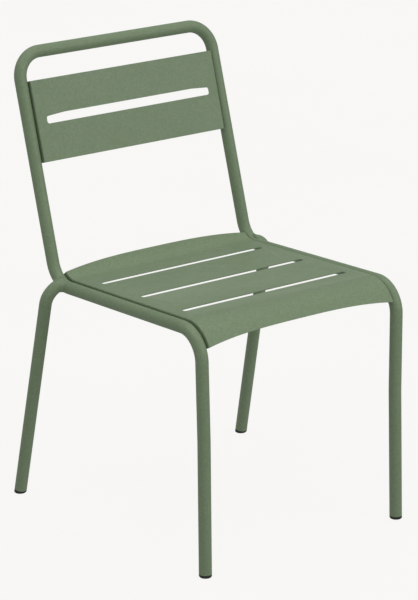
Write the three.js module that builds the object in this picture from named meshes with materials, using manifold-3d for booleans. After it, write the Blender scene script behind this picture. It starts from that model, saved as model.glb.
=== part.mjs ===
// Stacking chair in bent steel tube and formed steel sheet.
// Millimetres, +Z up, the sitter faces -Y, X runs across the seat.
import * as THREE from 'three';
import { mergeVertices } from 'three/addons/utils/BufferGeometryUtils.js';
import Module from 'manifold-3d';

const wasm = await Module();
wasm.setup();

// ---- Driving dimensions ----------------------------------------------------
const TUBE_R = 11.1;         // outside radius of every tube
const TUBE_WALL = 1.5;
const SHEET = 1.5;           // thickness of the seat and back sheet
const GAP = 0.3;             // clearance between neighbouring pieces
const DEPTH_SHIFT = 156.9;   // moves the middle of the depth onto Y = 0

// Corners of the left half of the main tube's centreline, before bending.
const FRONT_FOOT = [-210.2, -430.5, 0];
const LEG_KINK = [-207.8, -423.2, 239];
const SEAT_FRONT = [-210.2, -418.7, 427.3];
const SEAT_REAR = [-210.2, 0, 404.1];
const TOP_CORNER = [-208.6, 116.7, 791.4];
const KINK_R = 180;
const FRONT_BEND_R = 49.8;
const REAR_BEND_R = 49;
const TOP_BEND_R = 46.5;

// Corners of the left rear leg's centreline; the last lies beyond the main tube, which cuts it short.
const REAR_FOOT = [-251.7, 67.6, 0];
const LEG_KNEE = [-241.5, -21.7, 422.6];
const LEG_INNER = [-97, -30.5, 384.6];
const KNEE_R = 38.7;

// Seat and back are shallow channels; height is measured out from a tube's centreline.
const FACE_HEIGHT = 11.5;    // outer face of the sheet
const FLANGE_DEPTH = 13.5;   // from the outer face to the free edge of a flange
const FLANGE_R = 2.2;        // outside radius between face and flange
const FACE_HALF = 198.4;     // half the width of the seat over its flanges
const BACK_HALF = 197.4;
const FRONT_WRAP = 67.5;     // degrees the seat follows the front bend
const REAR_WRAP = 61;        // degrees the seat follows the rear bend
const FRONT_ARCH = 12;       // rise of the front edge at the middle
const REAR_ARCH = 11.5;      // fall of the rear edge at the sides
const BACK_LOW = 211.5;      // edges of the back, measured along the upright
const BACK_HIGH = 355.2;

// Slots: the upper edge falls by `drop` over the last `taper` at each end.
const SEAT_SLOT = { half: 175, halfHeight: 6.4, taper: 30, drop: 0.8, corner: 3 };
const BACK_SLOT = { half: 176.5, halfHeight: 7.9, taper: 38, drop: 2.5, corner: 4 };
const SEAT_SLOTS_AT = [88, 205, 322];   // distance forward of the rear corner
const BACK_SLOT_AT = 285;               // distance up from the rear corner

// Plastic glides: a sole flush with the tube and a ribbed plug inside it.
const GLIDE_SOLE_R = 8.6;    // flat part that stands on the floor
const GLIDE_PLUG_R = 8.5;
const GLIDE_RIB_R = 9.2;
const GLIDE_PLUG = 20;
const FRONT_SOLE = 5.3;      // tube end above the floor, on the tube's centreline
const REAR_SOLE = 7;

// Weld beads.
const BEAD_R = 2.2;
const STITCH_R = 1.6;
const STITCH = 25;
const SEAT_STITCHES = [50, 200, 345];
const BACK_STITCHES = [236, 331];

const TURN_STEP = THREE.MathUtils.degToRad(7.7);   // finest turn in one step of a bend
const SIDES = 24;
const BORE_SIDES = 12;

// ---- Materials -------------------------------------------------------------
const paint = () => new THREE.MeshStandardMaterial({ color: 0x6b7f62, roughness: 0.5, metalness: 0.1 });
const plastic = () => new THREE.MeshStandardMaterial({ color: 0x1d1e1f, roughness: 0.6, metalness: 0 });

// ---- Paths -----------------------------------------------------------------
const vec = (p) => new THREE.Vector3(...p);
const mirrored = (p) => [-p[0], p[1], p[2]];
const onCentre = (p) => [0, p[1], p[2]];

// A path through given stations: places with a tangent each.
class StationPath extends THREE.Curve {
  constructor(stations) {
    super();
    this.stations = stations;
  }

  station(u) {
    return this.stations[Math.round(u * (this.stations.length - 1))];
  }

  getPointAt(u, target = new THREE.Vector3()) {
    return target.copy(this.station(u).point);
  }

  getTangentAt(u, target = new THREE.Vector3()) {
    return target.copy(this.station(u).tangent);
  }
}

// The arc of a given radius that rounds the corner b between a and c.
function fillet(a, b, c, radius) {
  const before = vec(b).sub(vec(a)).normalize();
  const after = vec(c).sub(vec(b)).normalize();
  const turn = before.angleTo(after);
  const inward = after.clone().addScaledVector(before, -after.dot(before)).normalize();
  const start = vec(b).addScaledVector(before, -radius * Math.tan(turn / 2));
  const at = (angle) => ({
    point: start.clone()
      .addScaledVector(before, radius * Math.sin(angle))
      .addScaledVector(inward, radius * (1 - Math.cos(angle))),
    tangent: before.clone().multiplyScalar(Math.cos(angle)).addScaledVector(inward, Math.sin(angle)),
  });
  return { turn, at };
}

function arcStations(arc, from, to) {
  const steps = Math.max(2, Math.ceil((to - from) / TURN_STEP));
  const stations = [];
  for (let i = 0; i <= steps; i += 1) {
    stations.push(arc.at(from + (i / steps) * (to - from)));
  }
  return stations;
}

function throughCorners(corners, radii) {
  const last = corners.length - 1;
  const along = (i) => vec(corners[i + 1]).sub(vec(corners[i])).normalize();
  const stations = [{ point: vec(corners[0]), tangent: along(0) }];
  for (let i = 1; i < last; i += 1) {
    const arc = fillet(corners[i - 1], corners[i], corners[i + 1], radii[i - 1]);
    stations.push(...arcStations(arc, 0, arc.turn));
  }
  stations.push({ point: vec(corners[last]), tangent: along(last - 1) });
  return new StationPath(stations);
}

function distanceTo(path, point) {
  const line = new THREE.Line3();
  const nearest = new THREE.Vector3();
  let best = Infinity;
  for (let i = 1; i < path.stations.length; i += 1) {
    line.set(path.stations[i - 1].point, path.stations[i].point);
    line.closestPointToPoint(point, true, nearest);
    best = Math.min(best, nearest.distanceTo(point));
  }
  return best;
}

// ---- Shapes ----------------------------------------------------------------
function circlePoints(radius, sides) {
  const points = [];
  for (let i = 0; i < sides; i += 1) {
    const angle = (i / sides) * 2 * Math.PI;
    points.push(new THREE.Vector2(radius * Math.cos(angle), radius * Math.sin(angle)));
  }
  return points;
}

function tubeSection() {
  const section = new THREE.Shape(circlePoints(TUBE_R, SIDES));
  section.holes.push(new THREE.Path(circlePoints(TUBE_R - TUBE_WALL, BORE_SIDES)));
  return section;
}

// A channel open downwards: face on top, a flange down each side.
function channelSection(half) {
  const top = FACE_HEIGHT;
  const low = top - FLANGE_DEPTH;
  const inner = half - SHEET;
  const innerR = FLANGE_R - SHEET;
  const section = new THREE.Shape();
  section.moveTo(half, low);
  section.absarc(half - FLANGE_R, top - FLANGE_R, FLANGE_R, 0, Math.PI / 2);
  section.absarc(-half + FLANGE_R, top - FLANGE_R, FLANGE_R, Math.PI / 2, Math.PI);
  section.lineTo(-half, low);
  section.lineTo(-inner, low);
  section.absarc(-inner + innerR, top - SHEET - innerR, innerR, Math.PI, Math.PI / 2, true);
  section.absarc(inner - innerR, top - SHEET - innerR, innerR, Math.PI / 2, 0, true);
  section.lineTo(inner, low);
  return section;
}

// Straight lower edge, upper edge tapering towards both rounded ends.
function slotShape({ half, halfHeight, taper, drop, corner }) {
  const low = -halfHeight;
  const high = halfHeight;
  const end = high - drop;
  const shape = new THREE.Shape();
  shape.moveTo(-half + corner, low);
  shape.lineTo(half - corner, low);
  shape.quadraticCurveTo(half, low, half, low + corner);
  shape.lineTo(half, end - corner);
  shape.quadraticCurveTo(half, end, half - corner, end);
  shape.lineTo(half - taper, high);
  shape.lineTo(-half + taper, high);
  shape.lineTo(-half + corner, end);
  shape.quadraticCurveTo(-half, end, -half, end - corner);
  shape.lineTo(-half, low + corner);
  shape.quadraticCurveTo(-half, low, -half + corner, low);
  return shape;
}

// Everything on the far side of an edge that curves away from the middle towards both sides.
function edgeShape(half, curve, away) {
  const steps = 24;
  const shape = new THREE.Shape();
  shape.moveTo(-half, away);
  for (let i = 0; i <= steps; i += 1) {
    const x = half * ((2 * i) / steps - 1);
    shape.lineTo(x, -curve * Math.abs(x / FACE_HALF) ** 3);
  }
  shape.lineTo(half, away);
  return shape;
}

// ---- Solids ----------------------------------------------------------------
function sweep(path, section, curveSegments = 4) {
  const steps = path.stations.length - 1;
  return new THREE.ExtrudeGeometry(section, { steps, extrudePath: path, curveSegments });
}

function prism(shape, depth) {
  return new THREE.ExtrudeGeometry(shape, { depth, bevelEnabled: false, curveSegments: 4 });
}

function toSolid(geometry) {
  const bare = geometry.clone();
  bare.deleteAttribute('normal');
  bare.deleteAttribute('uv');
  const merged = mergeVertices(bare, 1e-4);
  const mesh = new wasm.Mesh({
    numProp: 3,
    vertProperties: new Float32Array(merged.attributes.position.array),
    triVerts: new Uint32Array(merged.index.array),
  });
  mesh.merge();
  return new wasm.Manifold(mesh);
}

function toGeometry(solid) {
  const mesh = solid.getMesh();
  const geometry = new THREE.BufferGeometry();
  geometry.setAttribute('position', new THREE.BufferAttribute(mesh.vertProperties, 3));
  geometry.setIndex(new THREE.BufferAttribute(mesh.triVerts, 1));
  geometry.computeVertexNormals();
  return geometry;
}

function cutAway(geometry, cutters) {
  let solid = toSolid(geometry);
  for (const cutter of cutters) {
    solid = solid.subtract(toSolid(cutter));
  }
  return toGeometry(solid);
}

// ---- Frame -----------------------------------------------------------------
const MAIN_RADII = [KINK_R, FRONT_BEND_R, REAR_BEND_R, TOP_BEND_R];

// The tube stops square to its own axis, a little above the floor.
function raised(foot, next, height) {
  const along = vec(next).sub(vec(foot));
  return vec(foot).addScaledVector(along, height / along.z).toArray();
}

function mainTube() {
  const left = [
    raised(FRONT_FOOT, LEG_KINK, FRONT_SOLE), LEG_KINK, SEAT_FRONT, SEAT_REAR, TOP_CORNER,
  ];
  const right = [...left].reverse().map(mirrored);
  const radii = [...MAIN_RADII, ...[...MAIN_RADII].reverse()];
  return sweep(throughCorners([...left, ...right], radii), tubeSection());
}

const sidePath = throughCorners([SEAT_FRONT, SEAT_REAR, TOP_CORNER], [REAR_BEND_R]);
const knee = fillet(REAR_FOOT, LEG_KNEE, LEG_INNER, KNEE_R);

// Angle round the knee at which the leg's centreline is nearest the main tube's.
function kneeEnd() {
  let best = 0;
  for (let angle = 0; angle < knee.turn; angle += 0.01) {
    if (distanceTo(sidePath, knee.at(angle).point) < distanceTo(sidePath, knee.at(best).point)) {
      best = angle;
    }
  }
  return best;
}

// A rear leg stands beside the frame and is coped to the outside of the rear bend.
function rearLeg() {
  const foot = raised(REAR_FOOT, LEG_KNEE, REAR_SOLE);
  const bend = arcStations(knee, 0, kneeEnd());
  const path = new StationPath([{ point: vec(foot), tangent: bend[0].tangent }, ...bend]);
  const cope = sweep(sidePath, new THREE.Shape(circlePoints(TUBE_R + GAP, 2 * SIDES)));
  return cutAway(sweep(path, tubeSection()), [cope]);
}

// The bead lies in the corner between the two tubes, clear of both by the gap.
function legBead() {
  const reach = TUBE_R + GAP + BEAD_R;
  const across = knee.at(0).tangent.clone().cross(knee.at(Math.PI / 2).tangent).normalize();
  const pointAt = (turn, angle) => {
    const { point, tangent } = knee.at(angle);
    const outward = across.clone().cross(tangent);
    return point.clone()
      .addScaledVector(outward, reach * Math.cos(turn))
      .addScaledVector(across, reach * Math.sin(turn));
  };
  const onJoint = (turn) => {
    let low = 0;
    let high = kneeEnd();
    for (let i = 0; i < 30; i += 1) {
      const middle = (low + high) / 2;
      if (distanceTo(sidePath, pointAt(turn, middle)) > reach) {
        low = middle;
      } else {
        high = middle;
      }
    }
    return pointAt(turn, low);
  };
  const steps = 36;
  const open = 0.08;   // the bead starts and stops just short of meeting itself
  const points = [];
  for (let i = 0; i <= steps; i += 1) {
    points.push(onJoint(open + (i / steps) * 2 * (Math.PI - open)));
  }
  const stations = points.map((point, i) => {
    const ahead = points[Math.min(i + 1, steps)];
    const behind = points[Math.max(i - 1, 0)];
    return { point, tangent: ahead.clone().sub(behind).normalize() };
  });
  return sweep(new StationPath(stations), new THREE.Shape(circlePoints(BEAD_R, 8)));
}

// ---- Seat and back ---------------------------------------------------------
const frontArc = fillet(
  onCentre(LEG_KINK), onCentre(SEAT_FRONT), onCentre(SEAT_REAR), FRONT_BEND_R,
);
const rearArc = fillet(
  onCentre(SEAT_FRONT), onCentre(SEAT_REAR), onCentre(TOP_CORNER), REAR_BEND_R,
);

// Puts a flat shape at a station: its y runs along the path, its depth out of the sheet.
function placeAt(geometry, { point, tangent }, height) {
  const across = new THREE.Vector3(1, 0, 0);
  const outward = across.clone().cross(tangent);
  const frame = new THREE.Matrix4().makeBasis(across, tangent, outward);
  frame.setPosition(point.clone().addScaledVector(outward, height));
  return geometry.applyMatrix4(frame);
}

// A station at a distance along the straight line that leaves a corner.
function stationFrom(corner, towards, distance) {
  const tangent = vec(onCentre(towards)).sub(vec(onCentre(corner))).normalize();
  return { point: vec(onCentre(corner)).addScaledVector(tangent, distance), tangent };
}

function onRail(distance) {
  const { point, tangent } = stationFrom(SEAT_REAR, SEAT_FRONT, distance);
  return { point, tangent: tangent.negate() };
}

function seatPanel() {
  const frontEnd = frontArc.turn - THREE.MathUtils.degToRad(FRONT_WRAP);
  const rearEnd = THREE.MathUtils.degToRad(REAR_WRAP);
  const path = new StationPath([
    ...arcStations(frontArc, frontEnd, frontArc.turn),
    ...arcStations(rearArc, 0, rearEnd),
  ]);
  // Each edge cutter stands square to the sheet half-way through its own arch.
  const frontTilt = FRONT_ARCH / (2 * (FRONT_BEND_R + FACE_HEIGHT));
  const rearTilt = REAR_ARCH / (2 * (REAR_BEND_R - FACE_HEIGHT));
  const frontCut = placeAt(
    prism(edgeShape(FACE_HALF - SHEET, FRONT_ARCH, -30), 40).translate(0, FRONT_ARCH / 2, 0),
    frontArc.at(frontEnd + frontTilt), -10,
  );
  const rearCut = placeAt(
    prism(edgeShape(FACE_HALF + 2, REAR_ARCH, 30), 40).translate(0, REAR_ARCH / 2, 0),
    rearArc.at(rearEnd - rearTilt), -10,
  );
  const slots = SEAT_SLOTS_AT.map((distance) => (
    placeAt(prism(slotShape(SEAT_SLOT), 10), onRail(distance), FACE_HEIGHT - 5)
  ));
  return cutAway(sweep(path, channelSection(FACE_HALF)), [frontCut, rearCut, ...slots]);
}

function backPanel() {
  const path = new StationPath([
    stationFrom(SEAT_REAR, TOP_CORNER, BACK_LOW),
    stationFrom(SEAT_REAR, TOP_CORNER, BACK_HIGH),
  ]);
  const slot = placeAt(
    prism(slotShape(BACK_SLOT), 10), stationFrom(SEAT_REAR, TOP_CORNER, BACK_SLOT_AT),
    FACE_HEIGHT - 5,
  );
  return cutAway(sweep(path, channelSection(BACK_HALF)), [slot]);
}

// A stitch lies where the free edge of a flange meets the tube beside it.
function stitch(station, tubeX) {
  const below = FACE_HEIGHT - FLANGE_DEPTH - GAP - STITCH_R;
  const reach = TUBE_R + GAP + STITCH_R;
  const inset = Math.sqrt(reach ** 2 - below ** 2);
  const bead = new THREE.CapsuleGeometry(STITCH_R, STITCH - 2 * STITCH_R, 3, 8);
  const side = Math.sign(tubeX);
  return placeAt(bead, station, below).translate(tubeX - side * inset, 0, 0);
}

// ---- Glides ----------------------------------------------------------------
// Points of a profile turned about the vertical axis.
function turned(profile) {
  const points = profile.map(([r, z]) => new THREE.Vector2(r, z));
  return new THREE.LatheGeometry(points, SIDES).rotateX(Math.PI / 2);
}

// The plug follows the tube's axis; the sole is trimmed level, with a rounded rim.
function glide(foot, next, soleHeight) {
  const axis = vec(next).sub(vec(foot)).normalize();
  const body = turned([
    [0, -2 * soleHeight - 4], [TUBE_R, -2 * soleHeight - 4], [TUBE_R, -GAP],
    [GLIDE_PLUG_R, -GAP], [GLIDE_PLUG_R, 4], [GLIDE_RIB_R, 5], [GLIDE_PLUG_R, 7],
    [GLIDE_PLUG_R, 11], [GLIDE_RIB_R, 12], [GLIDE_PLUG_R, 14],
    [GLIDE_PLUG_R, GLIDE_PLUG - 2], [GLIDE_PLUG_R - 2, GLIDE_PLUG], [0, GLIDE_PLUG],
  ]);
  const tilt = new THREE.Quaternion().setFromUnitVectors(new THREE.Vector3(0, 0, 1), axis);
  body.applyQuaternion(tilt).translate(...raised(foot, next, soleHeight));
  const level = turned([
    [0, 0], [GLIDE_SOLE_R, 0], [TUBE_R - 0.9, 0.8], [TUBE_R + 0.1, 2.4],
    [TUBE_R + 8, 4], [TUBE_R + 8, 60], [0, 60],
  ]).translate(...foot);
  return toGeometry(toSolid(body).intersect(toSolid(level)));
}

// ---- Assembly --------------------------------------------------------------
const chair = new THREE.Group();
chair.name = 'stacking_chair';
chair.position.y = DEPTH_SHIFT;

function add(name, geometry, material) {
  const mesh = new THREE.Mesh(geometry, material);
  mesh.name = name;
  chair.add(mesh);
  return mesh;
}

// The other hand of a piece, with its faces turned to look outwards again.
function otherHand(geometry) {
  const mirror = geometry.clone().scale(-1, 1, 1);
  const solid = mirror.index ? mirror : mergeVertices(mirror);
  const index = solid.index.array;
  for (let i = 0; i < index.length; i += 3) {
    [index[i], index[i + 1]] = [index[i + 1], index[i]];
  }
  solid.computeVertexNormals();
  return solid;
}

add('main_frame', mainTube(), paint());
add('seat_panel', seatPanel(), paint());
add('back_panel', backPanel(), paint());

const leg = rearLeg();
add('rear_leg_left', leg, paint());
add('rear_leg_right', otherHand(leg), paint());

const bead = legBead();
add('leg_weld_left', bead, paint());
add('leg_weld_right', otherHand(bead), paint());

for (const [name, foot, next, sole] of [
  ['front', FRONT_FOOT, LEG_KINK, FRONT_SOLE],
  ['rear', REAR_FOOT, LEG_KNEE, REAR_SOLE],
]) {
  add(`glide_${name}_left`, glide(foot, next, sole), plastic());
  add(`glide_${name}_right`, glide(mirrored(foot), mirrored(next), sole), plastic());
}

for (const side of [-1, 1]) {
  const hand = side < 0 ? 'left' : 'right';
  SEAT_STITCHES.forEach((distance, i) => {
    add(`seat_weld_${hand}_${i + 1}`, stitch(onRail(distance), side * -SEAT_REAR[0]), paint());
  });
  BACK_STITCHES.forEach((distance, i) => {
    const rise = distance / vec(TOP_CORNER).distanceTo(vec(SEAT_REAR));
    const tubeX = THREE.MathUtils.lerp(-SEAT_REAR[0], -TOP_CORNER[0], rise);
    const station = stationFrom(SEAT_REAR, TOP_CORNER, distance);
    add(`back_weld_${hand}_${i + 1}`, stitch(station, side * tubeX), paint());
  });
}

export default chair;
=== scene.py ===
import math

import bmesh
import bpy
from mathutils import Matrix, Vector


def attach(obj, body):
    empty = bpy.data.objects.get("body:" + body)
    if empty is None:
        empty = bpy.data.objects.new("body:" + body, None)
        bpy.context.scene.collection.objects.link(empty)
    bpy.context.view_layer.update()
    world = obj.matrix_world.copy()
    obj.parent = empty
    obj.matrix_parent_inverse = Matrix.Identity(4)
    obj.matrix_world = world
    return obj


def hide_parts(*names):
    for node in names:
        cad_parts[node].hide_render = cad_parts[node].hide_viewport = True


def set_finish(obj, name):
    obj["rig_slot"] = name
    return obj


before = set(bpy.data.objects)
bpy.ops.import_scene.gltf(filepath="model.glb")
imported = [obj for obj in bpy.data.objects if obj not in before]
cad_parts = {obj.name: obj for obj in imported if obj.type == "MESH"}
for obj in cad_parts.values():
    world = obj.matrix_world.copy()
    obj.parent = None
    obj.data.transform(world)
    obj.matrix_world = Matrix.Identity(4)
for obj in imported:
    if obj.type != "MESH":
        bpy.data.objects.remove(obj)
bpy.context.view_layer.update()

MM = 0.001
# Driving dimensions of the CAD part, in millimetres; Y is moved so that the depth is centred.
SHIFT = Vector((0, 156.9, 0))
TUBE_R = 11.05   # 0.05 under the CAD's, so that no tube reaches past its box
TUBE_WALL = 1.5
FRONT_FOOT = (-210.2, -430.5, 0)
LEG_KINK = (-207.8, -423.2, 239)
SEAT_FRONT = (-210.2, -418.7, 427.3)
SEAT_REAR = (-210.2, 0, 404.1)
TOP_CORNER = (-208.6, 116.7, 791.4)
KINK_R, FRONT_BEND_R, REAR_BEND_R, TOP_BEND_R = 180, 49.8, 49, 46.5
REAR_FOOT = (-251.7, 67.6, 0)
LEG_KNEE = (-241.5, -21.7, 422.6)
LEG_INNER = (-97, -30.5, 384.6)
KNEE_R = 38.7
FACE_HEIGHT, FLANGE_DEPTH, FLANGE_R, SHEET = 11.5, 13.5, 2.2, 1.5
FACE_HALF, BACK_HALF = 198.4, 197.4
FRONT_WRAP, REAR_WRAP = math.radians(67.5), math.radians(61)
FRONT_ARCH, REAR_ARCH = 12, 11.5
BACK_LOW, BACK_HIGH = 211.5, 355.2
# Slots: half length, half height, taper and drop of the upper edge, corner radius.
SEAT_SLOT, BACK_SLOT = (175, 6.4, 30, 0.8, 3), (176.5, 7.9, 38, 2.5, 4)
SEAT_SLOTS_AT, BACK_SLOT_AT = (88, 205, 322), 285
FRONT_SOLE, REAR_SOLE = 5.3, 7   # tube ends above the floor
SEAT_STITCHES, BACK_STITCHES = (50, 200, 345), (236, 331)
# Rounded lip of a cut tube: distance in from the end, change of radius.
LIP = [(0.35, 0.0), (0.1, -0.1), (0.0, -0.35), (0.0, 0.3 - TUBE_WALL), (12.0, -TUBE_WALL)]
TUBE_SIDES = 48
BEND_STEP = math.radians(3)
# A ring this far outside each bend keeps the shading of the straights flat.
SUPPORT = 2


# ---- Camera ------------------------------------------------------------------
def make_camera():
    az, el, dist = math.radians(-37.017), math.radians(18.116), 4767.5
    back = Vector((math.sin(az) * math.cos(el), -math.cos(az) * math.cos(el), math.sin(el)))
    target = Vector((0, -135, 378)) + SHIFT
    data = bpy.data.cameras.new("camera")
    data.sensor_width = 36
    data.lens = 36 * 2714.47 / 600
    data.shift_x = 0.0160
    data.shift_y = -0.0091
    data.clip_start, data.clip_end = 0.1, 100
    camera = bpy.data.objects.new("camera", data)
    camera.location = (target + back * dist) * MM
    camera.rotation_mode = "QUATERNION"
    camera.rotation_quaternion = (-back).to_track_quat("-Z", "Y")
    bpy.context.scene.collection.objects.link(camera)
    bpy.context.scene.camera = camera


# ---- Paths -------------------------------------------------------------------
def mirrored(p):
    return (-p[0], p[1], p[2])


def on_centre(p):
    return (0, p[1], p[2])


class Fillet:
    """The arc of a given radius that rounds the corner b between a and c."""

    def __init__(self, a, b, c, radius):
        a, b, c = Vector(a), Vector(b), Vector(c)
        self.before = (b - a).normalized()
        after = (c - b).normalized()
        self.turn = self.before.angle(after)
        self.inward = (after - self.before * after.dot(self.before)).normalized()
        self.start = b - self.before * radius * math.tan(self.turn / 2)
        self.radius = radius

    def at(self, angle):
        point = (
            self.start
            + self.before * self.radius * math.sin(angle)
            + self.inward * self.radius * (1 - math.cos(angle))
        )
        return point, self.before * math.cos(angle) + self.inward * math.sin(angle)

    def stations(self, start, end):
        count = max(2, math.ceil((end - start) / BEND_STEP))
        return [self.at(start + (end - start) * i / count) for i in range(count + 1)]


def through_corners(corners, radii):
    along = [(Vector(b) - Vector(a)).normalized() for a, b in zip(corners, corners[1:])]
    stations = [(Vector(corners[0]), along[0])]
    for i, radius in enumerate(radii):
        arc = Fillet(*corners[i : i + 3], radius)
        bend = arc.stations(0, arc.turn)
        (start, before), (end, after) = bend[0], bend[-1]
        stations.append((start - before * SUPPORT, before))
        stations += bend
        stations.append((end + after * SUPPORT, after))
    return stations + [(Vector(corners[-1]), along[-1])]


def nearest(stations, point):
    """The place on a centreline that is nearest to a point."""
    places = []
    for (a, _), (b, _) in zip(stations, stations[1:]):
        run = b - a
        t = max(0, min(1, (point - a).dot(run) / max(run.length_squared, 1e-9)))
        places.append(a + run * t)
    return min(places, key=lambda place: (place - point).length_squared)


def distance_to(stations, point):
    return (nearest(stations, point) - point).length


# ---- Meshes ------------------------------------------------------------------
def new_object(name, verts, faces, slot="powder_coat", smooth=True):
    mesh = bpy.data.meshes.new(name)
    mesh.from_pydata([(v + SHIFT) * MM for v in verts], [], faces)
    bm = bmesh.new()
    bm.from_mesh(mesh)
    bmesh.ops.recalc_face_normals(bm, faces=bm.faces)
    bm.to_mesh(mesh)
    bm.free()
    mesh.polygons.foreach_set("use_smooth", [smooth] * len(mesh.polygons))
    obj = bpy.data.objects.new(name, mesh)
    bpy.context.scene.collection.objects.link(obj)
    if slot:
        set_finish(obj, slot)
    return obj


def side_vectors(stations, first):
    """Vectors square to a path that don't twist along it, one for each station."""
    side = (first - stations[0][1] * first.dot(stations[0][1])).normalized()
    sides = [side]
    for (_, before), (_, after) in zip(stations, stations[1:]):
        side = before.rotation_difference(after) @ sides[-1]
        sides.append((side - after * side.dot(after)).normalized())
    return sides


def ring(point, tangent, side, radius, count):
    other = tangent.cross(side)
    return [
        point
        + side * radius * math.cos(2 * math.pi * i / count)
        + other * radius * math.sin(2 * math.pi * i / count)
        for i in range(count)
    ]


def skin(rings, closed=False, caps=True):
    """Faces over rings of equal length, given one after the other."""
    count = len(rings[0])
    verts = [v for r in rings for v in r]
    faces = []
    last = len(rings) if closed else len(rings) - 1
    for j in range(last):
        a, b = j * count, (j + 1) % len(rings) * count
        for i in range(count):
            k = (i + 1) % count
            faces.append((a + i, a + k, b + k, b + i))
    if caps and not closed:
        faces.append(tuple(range(count)))
        faces.append(tuple(range((len(rings) - 1) * count, len(rings) * count)))
    return verts, faces


def tube_rings(stations):
    """Rings of an open-ended tube with a rounded lip at each end."""
    sides = side_vectors(stations, Vector((0, 1, 0)))

    def around(point, tangent, side, radius):
        return ring(point, tangent, side, radius, TUBE_SIDES)

    (foot, up), (end, along) = stations[0], stations[-1]
    start_lip = [around(foot + up * d, up, sides[0], TUBE_R + r) for d, r in reversed(LIP)]
    end_lip = [around(end - along * d, along, sides[-1], TUBE_R + r) for d, r in LIP]
    body = [around(p, t, side, TUBE_R) for (p, t), side in zip(stations, sides)]
    return start_lip + body[1:-1] + end_lip


def bevel(obj, width, angle, segments):
    mod = obj.modifiers.new("bevel", "BEVEL")
    mod.width = width * MM
    mod.segments = segments
    mod.limit_method = "ANGLE"
    mod.angle_limit = math.radians(angle)
    mod.use_clamp_overlap = True
    mod.harden_normals = False


def apply_modifiers(obj):
    depsgraph = bpy.context.evaluated_depsgraph_get()
    mesh = bpy.data.meshes.new_from_object(obj.evaluated_get(depsgraph))
    obj.modifiers.clear()
    obj.data = mesh


def smooth_by_angle(obj, angle):
    """Smooth shading, with the edges sharper than the angle kept hard."""
    mesh = obj.data
    mesh.polygons.foreach_set("use_smooth", [True] * len(mesh.polygons))
    bm = bmesh.new()
    bm.from_mesh(mesh)
    for edge in bm.edges:
        edge.smooth = len(edge.link_faces) == 2 and edge.calc_face_angle(0) < math.radians(angle)
    bm.to_mesh(mesh)
    bm.free()


def cut(obj, cutters):
    for cutter in cutters:
        mod = obj.modifiers.new("cut", "BOOLEAN")
        mod.operation = "DIFFERENCE"
        mod.solver = "EXACT"
        mod.object = cutter
    bpy.context.view_layer.update()
    apply_modifiers(obj)
    for cutter in cutters:
        bpy.data.objects.remove(cutter)


# ---- Frame tubes -------------------------------------------------------------
def raised(foot, following, height):
    along = Vector(following) - Vector(foot)
    return Vector(foot) + along * (height / along.z)


MAIN_RADII = [KINK_R, FRONT_BEND_R, REAR_BEND_R, TOP_BEND_R]
FOOT_END = tuple(raised(FRONT_FOOT, LEG_KINK, FRONT_SOLE))
LEFT = [FOOT_END, LEG_KINK, SEAT_FRONT, SEAT_REAR, TOP_CORNER]
SIDE_PATH = through_corners([SEAT_FRONT, SEAT_REAR, TOP_CORNER], [REAR_BEND_R])
KNEE = Fillet(REAR_FOOT, LEG_KNEE, LEG_INNER, KNEE_R)


def main_frame():
    corners = LEFT + [mirrored(p) for p in reversed(LEFT)]
    stations = through_corners(corners, MAIN_RADII + MAIN_RADII[::-1])
    verts, faces = skin(tube_rings(stations), caps=False)
    obj = new_object("main_tube", verts, faces)
    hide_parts("main_frame")
    return obj


def knee_end():
    """Angle round the knee at which the leg's centreline is nearest the main tube's."""
    step = 0.005
    angles = [i * step for i in range(int(KNEE.turn / step))]
    return min(angles, key=lambda a: distance_to(SIDE_PATH, KNEE.at(a)[0]))


KNEE_END = knee_end()
KNEE_ACROSS = KNEE.at(0)[1].cross(KNEE.at(math.pi / 2)[1]).normalized()


def leg_ring_point(point, tangent, turn, reach):
    outward = KNEE_ACROSS.cross(tangent)
    return point + outward * reach * math.cos(turn) + KNEE_ACROSS * reach * math.sin(turn)


def around_leg(turn, angle, reach):
    return leg_ring_point(*KNEE.at(angle), turn, reach)


def angle_at_distance(turn, reach):
    """Angle round the knee where a line along the leg is as near the main tube as the leg."""
    low, high = 0.0, KNEE_END
    for _ in range(26):
        middle = (low + high) / 2
        if distance_to(SIDE_PATH, around_leg(turn, middle, reach)) > reach:
            low = middle
        else:
            high = middle
    return low


def onto_tube(path, point, reach):
    centre = nearest(path, point)
    return centre + (point - centre).normalized() * reach


def rear_leg(hand, side):
    steps, sink = 26, 0.4
    turns = [2 * math.pi * i / TUBE_SIDES for i in range(TUBE_SIDES)]
    foot, axis = raised(REAR_FOOT, LEG_KNEE, REAR_SOLE), KNEE.at(0)[1]
    rings = [
        [leg_ring_point(foot + axis * d, axis, t, TUBE_R + r) for t in turns]
        for d, r in reversed(LIP)
    ]
    # Past the straight, each line along the leg stops where it meets the main tube.
    stops = [angle_at_distance(t, TUBE_R) for t in turns]
    for j in range(steps + 1):
        rings.append([around_leg(t, stop * j / steps, TUBE_R) for t, stop in zip(turns, stops)])
    rings.append([onto_tube(SIDE_PATH, v, TUBE_R - sink) for v in rings[-1]])
    verts, faces = skin(rings, caps=False)
    if side > 0:
        verts = [Vector(mirrored(v)) for v in verts]
    obj = new_object(f"rear_leg_tube_{hand}", verts, faces)
    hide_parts(f"rear_leg_{hand}")
    return obj


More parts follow.
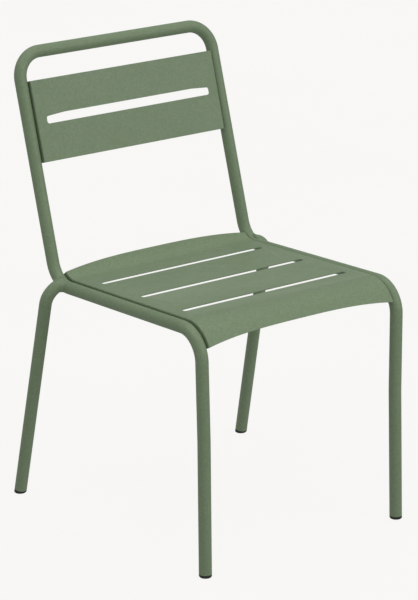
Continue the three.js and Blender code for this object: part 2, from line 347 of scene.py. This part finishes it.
def weld_line(turn):
    """Points of the weld at one turn round the leg: its two toes, its crown and its inside."""
    radius = 4.2
    toe = 1.4 + 0.2 * math.sin(5 * turn + 1) + 0.12 * math.sin(11 * turn)
    angle = angle_at_distance(turn, TUBE_R + radius)
    middle, along = KNEE.at(angle)
    centre = around_leg(turn, angle, TUBE_R + radius)
    base = nearest(SIDE_PATH, centre)
    from_leg, from_main = (centre - middle).normalized(), (centre - base).normalized()
    step = (centre - base).length - TUBE_R - radius
    outward = (from_leg + from_main).normalized()
    corner = centre - (from_leg + from_main) * radius / (1 + from_leg.dot(from_main))
    away = from_leg + along
    away = (away - from_main * away.dot(from_main)).normalized()
    on_leg = around_leg(turn, angle - toe / KNEE_R, TUBE_R)
    on_main = base + from_main * TUBE_R + away * (toe + step)
    crown = corner.lerp((on_leg + on_main) / 2, 0.5) + outward * 0.8 * step
    return on_leg, on_main, crown, corner - outward * (0.8 + step), outward


def smoothed(points):
    """The running mean of a closed line of points."""
    count, span = len(points), range(-6, 7)
    return [
        sum((points[(i + k) % count] for k in span), Vector()) / len(span) for i in range(count)
    ]


def leg_weld(hand, side):
    """A weld right round the joint of leg and main tube, laid in overlapping ripples."""
    count, across, ripples, sink = 288, 12, 34, 0.05
    lines = [weld_line(2 * math.pi * i / count) for i in range(count)]
    on_leg, on_main, crown, inside, outward = [smoothed(line) for line in zip(*lines)]
    leg_path = [(Vector(REAR_FOOT), KNEE.at(0)[1])] + KNEE.stations(0, KNEE_END + 0.3)
    rings = []
    for i in range(count):
        start = onto_tube(leg_path, on_leg[i], TUBE_R - sink)
        end = onto_tube(SIDE_PATH, on_main[i], TUBE_R - sink)
        loop = []
        for k in range(across + 1):
            f = k / across
            # Each ripple is a crescent that trails behind towards the edges.
            phase = ripples * i / count + 0.35 * (2 * f - 1) ** 2
            swell = 0.6 + 0.6 * abs(math.sin(math.pi * phase))
            middle = crown[i] + outward[i].normalized() * swell
            loop.append(start * (1 - f) ** 2 + middle * 2 * f * (1 - f) + end * f**2)
        rings.append(loop + [inside[i]])
    verts, faces = skin(rings, closed=True)
    if side > 0:
        verts = [Vector(mirrored(v)) for v in verts]
    obj = new_object(f"leg_weld_bead_{hand}", verts, faces)
    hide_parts(f"leg_weld_{hand}")
    return obj


# ---- Seat and back -----------------------------------------------------------
def arc_points(cx, cy, radius, start, end, count):
    """Points of a flat arc, its ends included."""
    return [
        (cx + radius * math.cos(start + (end - start) * i / count),
         cy + radius * math.sin(start + (end - start) * i / count))
        for i in range(count + 1)
    ]


def channel_points(half):
    """Section of a channel open downwards: a face on top, a flange down each side."""
    top, low = FACE_HEIGHT, FACE_HEIGHT - FLANGE_DEPTH
    inner, inner_r = half - SHEET, FLANGE_R - SHEET
    quarter = math.pi / 2
    points = [(half, low)]
    points += arc_points(half - FLANGE_R, top - FLANGE_R, FLANGE_R, 0, quarter, 8)
    points += arc_points(-half + FLANGE_R, top - FLANGE_R, FLANGE_R, quarter, 2 * quarter, 8)
    points += [(-half, low), (-inner, low)]
    points += arc_points(-inner + inner_r, top - SHEET - inner_r, inner_r, 2 * quarter, quarter, 6)
    points += arc_points(inner - inner_r, top - SHEET - inner_r, inner_r, quarter, 0, 6)
    return points + [(inner, low)]


def placed(station, height, points, depth=0.0):
    """Shape points at a station: x across, y along the path, depth out of the sheet."""
    point, tangent = station
    across = Vector((1, 0, 0))
    outward = across.cross(tangent)
    base = point + outward * (height + depth)
    return [base + across * x + tangent * y for x, y in points]


def cutter(station, height, points, depth):
    """A prism standing on the sheet at a station, to be cut out of it."""
    low = placed(station, height, points)
    high = placed(station, height, points, depth)
    verts, faces = skin([low, high])
    return new_object("cutter", verts, faces, slot=None, smooth=False)


def slot_points(x, high, taper, drop, r):
    """Straight lower edge, upper edge tapering towards both rounded ends."""
    low, end, quarter = -high, high - drop, math.pi / 2
    points = arc_points(x - r, low + r, r, -quarter, 0, 6)
    points += arc_points(x - r, end - r, r, 0, quarter, 6)
    points += [(x - taper, high), (-x + taper, high)]
    points += arc_points(-x + r, end - r, r, quarter, 2 * quarter, 6)
    points += arc_points(-x + r, low + r, r, 2 * quarter, 3 * quarter, 6)
    return points


def edge_points(half, curve, away, offset):
    """Everything on the far side of an edge that curves away towards both sides."""
    steps = 48
    points = [(-half, away)]
    for i in range(steps + 1):
        x = half * (2 * i / steps - 1)
        points.append((x, offset - curve * abs(x / FACE_HALF) ** 3))
    return points + [(half, away)]


def station_from(corner, towards, distance):
    """A station at a distance along the straight line that leaves a corner."""
    start = Vector(on_centre(corner))
    tangent = (Vector(on_centre(towards)) - start).normalized()
    return start + tangent * distance, tangent


def on_rail(distance):
    point, tangent = station_from(SEAT_REAR, SEAT_FRONT, distance)
    return point, -tangent


KINK_C, FRONT_C, REAR_C, TOP_C = map(on_centre, (LEG_KINK, SEAT_FRONT, SEAT_REAR, TOP_CORNER))
FRONT_ARC = Fillet(KINK_C, FRONT_C, REAR_C, FRONT_BEND_R)
REAR_ARC = Fillet(FRONT_C, REAR_C, TOP_C, REAR_BEND_R)


def channel(name, stations, half):
    """The channel section carried along a path."""
    rings = []
    for point, tangent in stations:
        outward = Vector((1, 0, 0)).cross(tangent)
        rings.append([point + Vector((x, 0, 0)) + outward * y for x, y in channel_points(half)])
    verts, faces = skin(rings)
    return new_object(name, verts, faces)


def seat_panel():
    front_end = FRONT_ARC.turn - FRONT_WRAP
    front = FRONT_ARC.stations(front_end, FRONT_ARC.turn)
    rear = REAR_ARC.stations(0, REAR_WRAP)
    (start, along), (end, _) = front[-1], rear[0]
    support = along * SUPPORT
    stations = front + [(start + support, along), (end - support, along)] + rear
    obj = channel("seat_sheet", stations, FACE_HALF)
    front_tilt = FRONT_ARCH / (2 * (FRONT_BEND_R + FACE_HEIGHT))
    rear_tilt = REAR_ARCH / (2 * (REAR_BEND_R - FACE_HEIGHT))
    front_edge = edge_points(FACE_HALF - SHEET, FRONT_ARCH, -30, FRONT_ARCH / 2)
    rear_edge = edge_points(FACE_HALF + 2, REAR_ARCH, 30, REAR_ARCH / 2)
    slot = slot_points(*SEAT_SLOT)
    cut(obj, [
        cutter(FRONT_ARC.at(front_end + front_tilt), -10, front_edge, 40),
        cutter(REAR_ARC.at(REAR_WRAP - rear_tilt), -10, rear_edge, 40),
        *[cutter(on_rail(s), FACE_HEIGHT - 5, slot, 10) for s in SEAT_SLOTS_AT],
    ])
    finish_sheet(obj)
    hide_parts("seat_panel")
    return obj


def back_panel():
    stations = [station_from(SEAT_REAR, TOP_CORNER, b) for b in (BACK_LOW, BACK_HIGH)]
    obj = channel("back_sheet", stations, BACK_HALF)
    middle = station_from(SEAT_REAR, TOP_CORNER, BACK_SLOT_AT)
    cut(obj, [cutter(middle, FACE_HEIGHT - 5, slot_points(*BACK_SLOT), 10)])
    finish_sheet(obj)
    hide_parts("back_panel")
    return obj


def finish_sheet(obj):
    """Rounds the cut edges and shades the bends smooth."""
    bevel(obj, width=0.45, angle=50, segments=3)
    bpy.context.view_layer.update()
    apply_modifiers(obj)
    smooth_by_angle(obj, 30)
    normals = obj.modifiers.new("normals", "WEIGHTED_NORMAL")
    normals.keep_sharp = True
    normals.weight = 80


# ---- Small parts -------------------------------------------------------------
def stitch(name, station, tube_x, side):
    """A short weld run: overlapping ripples with rounded ends, half sunk in the corner."""
    radius, length, ripples, count = 1.9, 25, 9, 60
    below = FACE_HEIGHT - FLANGE_DEPTH - 0.9
    inset = math.sqrt((TUBE_R + 1.0) ** 2 - below**2)
    point, tangent = station
    across = Vector((1, 0, 0))
    centre = point + across * side * (tube_x - inset) + across.cross(tangent) * below
    rings = []
    for i in range(count + 1):
        f = i / count
        taper = math.sqrt(max(0.0, 1 - abs(2 * f - 1) ** 6))
        swell = 1 + 0.07 * abs(math.sin(f * math.pi * ripples))
        place = centre + tangent * (f - 0.5) * length
        rings.append(ring(place, tangent, across, radius * max(0.05, taper) * swell, 14))
    verts, faces = skin(rings)
    obj = new_object(f"{name}_bead", verts, faces)
    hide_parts(name)
    return obj


def revolve(name, profile, axis, origin):
    """A profile of (radius, height) points turned about an axis."""
    side = axis.orthogonal().normalized()
    rings = [ring(origin + axis * z, axis, side, max(r, 0.001), 64) for r, z in profile]
    verts, faces = skin(rings)
    return new_object(name, verts, faces, slot="glide_plastic")


def glide(name, foot, following, sole):
    """A ribbed plug along the tube's axis, on a sole trimmed level with a rounded rim."""
    axis = (Vector(following) - Vector(foot)).normalized()
    below, plug, rib = -2 * sole - 4, 8.5, 9.2
    body = revolve(f"{name}_cap", [
        (0, below), (TUBE_R, below), (TUBE_R, -0.9), (TUBE_R - 0.15, -0.45),
        (TUBE_R - 0.6, -0.3), (plug, -0.3), (plug, 4), (rib, 5), (plug, 7), (plug, 11),
        (rib, 12), (plug, 14), (plug, 18), (plug - 2, 20), (0, 20),
    ], axis, raised(foot, following, sole))
    flat, rim, beyond, top = 8.2, 3.0, TUBE_R + 8, 60
    profile = [(0, 0), (flat, 0)]
    for degrees in range(10, 90, 10):
        a = math.radians(degrees)
        profile.append((flat + rim * math.sin(a), rim * (1 - math.cos(a))))
    profile += [(beyond, 3.2), (beyond, top), (0, top)]
    level = revolve("level", profile, Vector((0, 0, 1)), Vector(foot))
    mod = body.modifiers.new("level", "BOOLEAN")
    mod.operation = "INTERSECT"
    mod.solver = "EXACT"
    mod.object = level
    bpy.context.view_layer.update()
    apply_modifiers(body)
    bpy.data.objects.remove(level)
    smooth_by_angle(body, 40)
    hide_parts(name)
    return body


# ---- Materials ---------------------------------------------------------------
class Nodes:
    def __init__(self, name):
        self.material = bpy.data.materials.new(name)
        self.material.use_nodes = True
        self.tree = self.material.node_tree
        self.shader = self.tree.nodes["Principled BSDF"]

    def new(self, kind, **inputs):
        node = self.tree.nodes.new(kind)
        for key, value in inputs.items():
            node.inputs[key.replace("_", " ")].default_value = value
        return node

    def link(self, source, target):
        self.tree.links.new(source, target)

    def noise(self, scale, detail=2.0, rough=0.5):
        node = self.new("ShaderNodeTexNoise", Scale=scale, Detail=detail, Roughness=rough)
        self.link(self.place, node.inputs["Vector"])
        return node.outputs["Fac"]

    def ramp(self, source, low, high, out_low, out_high):
        node = self.new(
            "ShaderNodeMapRange", From_Min=low, From_Max=high, To_Min=out_low, To_Max=out_high,
        )
        self.link(source, node.inputs["Value"])
        return node.outputs["Result"]

    def mix(self, factor, a, b):
        node = self.tree.nodes.new("ShaderNodeMix")
        node.data_type = "RGBA"
        self.link(factor, node.inputs["Factor"])
        for value, socket in ((a, node.inputs["A"]), (b, node.inputs["B"])):
            if isinstance(value, tuple):
                socket.default_value = value
            else:
                self.link(value, socket)
        return node.outputs["Result"]

    def bump(self, height, distance, strength, before=None):
        node = self.new("ShaderNodeBump", Distance=distance, Strength=strength)
        self.link(height, node.inputs["Height"])
        if before is not None:
            self.link(before, node.inputs["Normal"])
        return node.outputs["Normal"]

    @property
    def place(self):
        if not hasattr(self, "_place"):
            self._place = self.tree.nodes.new("ShaderNodeTexCoord").outputs["Object"]
        return self._place


def srgb(r, g, b):
    def linear(c):
        c /= 255
        return c / 12.92 if c <= 0.04045 else ((c + 0.055) / 1.055) ** 2.4

    return (linear(r), linear(g), linear(b), 1.0)


def powder_coat():
    m = Nodes("powder_coat_green")
    darker = srgb(106, 125, 94)
    cloud = m.ramp(m.noise(9, 3), 0.3, 0.7, 0, 1)
    mottle = m.ramp(m.noise(240, 3, 0.65), 0.35, 0.65, 0, 0.6)
    grain = m.ramp(m.noise(650, 2), 0.35, 0.65, 0, 0.5)
    base = m.mix(cloud, srgb(125, 145, 113), srgb(130, 149, 117))
    colour = m.mix(grain, m.mix(mottle, base, darker), darker)
    # Thin film on sharp edges, where the coat pulls back a little and rubs first.
    edge = m.new("ShaderNodeNewGeometry").outputs["Pointiness"]
    wear = m.ramp(edge, 0.52, 0.62, 0, 0.35)
    colour = m.mix(wear, colour, srgb(146, 160, 134))
    m.link(colour, m.shader.inputs["Base Color"])
    m.link(m.ramp(m.noise(40, 3), 0.3, 0.7, 0.46, 0.56), m.shader.inputs["Roughness"])
    m.shader.inputs["Specular IOR Level"].default_value = 0.45
    peel = m.bump(m.noise(220, 2), 0.0002, 0.25)
    m.link(m.bump(m.noise(900, 1), 0.0001, 0.35, peel), m.shader.inputs["Normal"])
    return m.material


def glide_plastic():
    m = Nodes("glide_plastic_black")
    scuff = m.ramp(m.noise(160, 4, 0.7), 0.5, 0.72, 0, 1)
    colour = m.mix(scuff, srgb(20, 21, 21), srgb(34, 34, 33))
    m.link(colour, m.shader.inputs["Base Color"])
    m.link(m.ramp(scuff, 0, 1, 0.5, 0.75), m.shader.inputs["Roughness"])
    m.link(m.bump(m.noise(1200, 2), 0.0001, 0.4), m.shader.inputs["Normal"])
    return m.material


def backdrop_paper():
    m = Nodes("backdrop_paper")
    m.shader.inputs["Base Color"].default_value = (0.04, 0.04, 0.04, 1)
    m.shader.inputs["Roughness"].default_value = 1
    m.shader.inputs["Specular IOR Level"].default_value = 0
    tone = m.ramp(m.noise(1.5, 2), 0.3, 0.7, 0, 1)
    colour = m.mix(tone, srgb(248, 247, 245), srgb(249, 248, 246))
    m.link(colour, m.shader.inputs["Emission Color"])
    m.shader.inputs["Emission Strength"].default_value = 0.96
    return m.material


# ---- Studio ------------------------------------------------------------------
def backdrop():
    """A pale floor that rises far away into a dome, so that no horizon shows."""
    floor, cove, pole = 12, 4, 0.001   # metres
    wall, steps = floor + cove, [math.radians(15 * k) for k in range(6)]
    profile = [(pole, 0), (floor, 0)]
    profile += [(floor + cove * math.sin(a), cove - cove * math.cos(a)) for a in steps[1:]]
    profile += [(wall * math.cos(a), cove + floor * math.sin(a)) for a in steps]
    profile += [(pole, wall)]
    angles = [2 * math.pi * i / 64 for i in range(64)]
    rings = [[(r * math.cos(a), r * math.sin(a), z) for a in angles] for r, z in profile]
    verts, faces = skin(rings, caps=False)
    mesh = bpy.data.meshes.new("backdrop")
    mesh.from_pydata(verts, [], faces)
    mesh.materials.append(backdrop_paper())
    obj = bpy.data.objects.new("backdrop", mesh)
    bpy.context.scene.collection.objects.link(obj)
    # The paper glows evenly by itself: it doesn't light the chair, and hardly shows a shadow.
    obj.visible_diffuse = obj.visible_glossy = obj.visible_shadow = False


def studio():
    scene = bpy.context.scene
    scene.view_settings.view_transform = "Standard"
    scene.view_settings.look = "None"
    backdrop()
    world = bpy.data.worlds.new("studio")
    world.use_nodes = True
    background = world.node_tree.nodes["Background"]
    background.inputs["Color"].default_value = (1, 1, 1, 1)
    background.inputs["Strength"].default_value = 0.43
    scene.world = world
    for name, where, power, spread in (
        ("key", (1.6, -3.2, 1.7), 0.8, 40),
        ("fill", (-3.0, -2.4, 1.0), 0.15, 60),
        ("top", (-0.1, 0.2, 4.0), 1.05, 70),
    ):
        data = bpy.data.lights.new(name, "SUN")
        data.energy, data.angle = power, math.radians(spread)
        light = bpy.data.objects.new(name, data)
        light.location = where
        light.rotation_mode = "QUATERNION"
        light.rotation_quaternion = (-Vector(where)).to_track_quat("-Z", "Y")
        scene.collection.objects.link(light)


# ---- Assembly ----------------------------------------------------------------
def build_side(hand, side):
    """The legs, glides and welds of the left (-1) or right (1) half."""
    pieces = [rear_leg(hand, side), leg_weld(hand, side)]
    for end, foot, following, sole in (
        ("front", FRONT_FOOT, LEG_KINK, FRONT_SOLE), ("rear", REAR_FOOT, LEG_KNEE, REAR_SOLE),
    ):
        if side > 0:
            foot, following = mirrored(foot), mirrored(following)
        pieces.append(glide(f"glide_{end}_{hand}", foot, following, sole))
    rail_x, top_x = -SEAT_REAR[0], -TOP_CORNER[0]
    upright = (Vector(TOP_CORNER) - Vector(SEAT_REAR)).length
    for i, distance in enumerate(SEAT_STITCHES, 1):
        pieces.append(stitch(f"seat_weld_{hand}_{i}", on_rail(distance), rail_x, side))
    for i, distance in enumerate(BACK_STITCHES, 1):
        tube_x = rail_x + (top_x - rail_x) * distance / upright
        station = station_from(SEAT_REAR, TOP_CORNER, distance)
        pieces.append(stitch(f"back_weld_{hand}_{i}", station, tube_x, side))
    return pieces


def build():
    pieces = [main_frame(), seat_panel(), back_panel()]
    pieces += build_side("left", -1) + build_side("right", 1)
    coat, plastic = powder_coat(), glide_plastic()
    for piece in pieces:
        piece.data.materials.clear()
        piece.data.materials.append(plastic if piece.get("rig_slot") == "glide_plastic" else coat)
        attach(piece, "root")


make_camera()
studio()
build()

bpy.context.view_layer.update()
